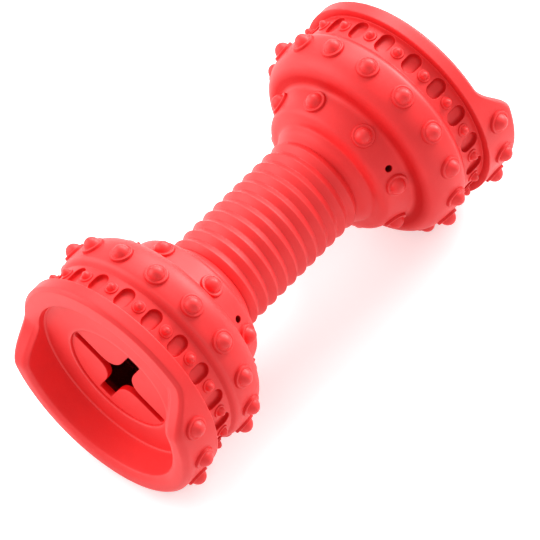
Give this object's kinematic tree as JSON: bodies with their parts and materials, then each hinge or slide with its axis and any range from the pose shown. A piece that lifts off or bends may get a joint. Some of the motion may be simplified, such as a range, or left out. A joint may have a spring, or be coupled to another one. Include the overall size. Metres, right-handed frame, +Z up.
{
  "type": "dumbbell chew toy",
  "caption": "Studded rubber dumbbell chew toy with a ribbed grip and a treat valve of bending flaps behind the scooped mouth of each head.",
  "frame": {"origin": "on the ground plane under the middle of the grip, with the toy lying on the lowest studs of both rims", "axes": "+X along the grip from the near head to the far head, +Z up from the ground"},
  "size_m": [0.1622, 0.0814, 0.0805],
  "materials": {
    "rubber": "satin moulded natural rubber",
    "valve_rubber": "satin moulded natural rubber",
    "white_plastic": "plain moulded plastic",
    "reed_film": "thin plastic film"
  },
  "bodies": {
    "body": {"grip": "rubber", "far_shoulder": "rubber", "far_end_cup": "rubber", "far_bulkhead": "rubber", "far_valve_ring": "valve_rubber", "far_squeaker_barrel": "white_plastic", "far_reed_plate": "white_plastic", "near_shoulder": "rubber", "near_end_cup": "rubber", "near_bulkhead": "rubber", "near_valve_ring": "valve_rubber", "near_squeaker_barrel": "white_plastic", "near_reed_plate": "white_plastic"},
    "far_flap_1": {"far_flap_1": "valve_rubber"},
    "far_flap_2": {"far_flap_2": "valve_rubber"},
    "far_flap_3": {"far_flap_3": "valve_rubber"},
    "far_flap_4": {"far_flap_4": "valve_rubber"},
    "far_reed": {"far_reed": "reed_film"},
    "near_flap_1": {"near_flap_1": "valve_rubber"},
    "near_flap_2": {"near_flap_2": "valve_rubber"},
    "near_flap_3": {"near_flap_3": "valve_rubber"},
    "near_flap_4": {"near_flap_4": "valve_rubber"},
    "near_reed": {"near_reed": "reed_film"}
  },
  "joints": [
    {"name": "far_flap_1_bend", "type": "hinge", "parent": "body", "child": "far_flap_1", "pos_m": [0.06799, -0.00357, 0.02715], "axis": [0, 0.9864, -0.1642], "range_deg": [-35, 25], "stiffness_Nm_per_rad": 0.02},
    {"name": "far_flap_2_bend", "type": "hinge", "parent": "body", "child": "far_flap_2", "pos_m": [0.06799, 0.01388, 0.03882], "axis": [0, 0.2258, 0.9742], "range_deg": [-35, 25], "stiffness_Nm_per_rad": 0.02},
    {"name": "far_flap_3_bend", "type": "hinge", "parent": "body", "child": "far_flap_3", "pos_m": [0.06799, 0.00357, 0.05425], "axis": [0, -0.9864, 0.1642], "range_deg": [-35, 25], "stiffness_Nm_per_rad": 0.02},
    {"name": "far_flap_4_bend", "type": "hinge", "parent": "body", "child": "far_flap_4", "pos_m": [0.06799, -0.01388, 0.04259], "axis": [0, -0.2258, -0.9742], "range_deg": [-35, 25], "stiffness_Nm_per_rad": 0.02},
    {"name": "far_reed_beat", "type": "hinge", "parent": "body", "child": "far_reed", "pos_m": [0.04646, 0, 0.0432], "axis": [0, -1, 0], "range_deg": [-2.5, 8], "stiffness_Nm_per_rad": 0.0005},
    {"name": "near_flap_1_bend", "type": "hinge", "parent": "body", "child": "near_flap_1", "pos_m": [-0.06799, -0.01388, 0.04259], "axis": [0, 0.2258, 0.9742], "range_deg": [-35, 25], "stiffness_Nm_per_rad": 0.02},
    {"name": "near_flap_2_bend", "type": "hinge", "parent": "body", "child": "near_flap_2", "pos_m": [-0.06799, 0.00357, 0.05425], "axis": [0, 0.9864, -0.1642], "range_deg": [-35, 25], "stiffness_Nm_per_rad": 0.02},
    {"name": "near_flap_3_bend", "type": "hinge", "parent": "body", "child": "near_flap_3", "pos_m": [-0.06799, 0.01388, 0.03882], "axis": [0, -0.2258, -0.9742], "range_deg": [-35, 25], "stiffness_Nm_per_rad": 0.02},
    {"name": "near_flap_4_bend", "type": "hinge", "parent": "body", "child": "near_flap_4", "pos_m": [-0.06799, -0.00357, 0.02715], "axis": [0, -0.9864, 0.1642], "range_deg": [-35, 25], "stiffness_Nm_per_rad": 0.02},
    {"name": "near_reed_beat", "type": "hinge", "parent": "body", "child": "near_reed", "pos_m": [-0.04646, 0, 0.0432], "axis": [0, 1, 0], "range_deg": [-2.5, 8], "stiffness_Nm_per_rad": 0.0005}
  ]
}
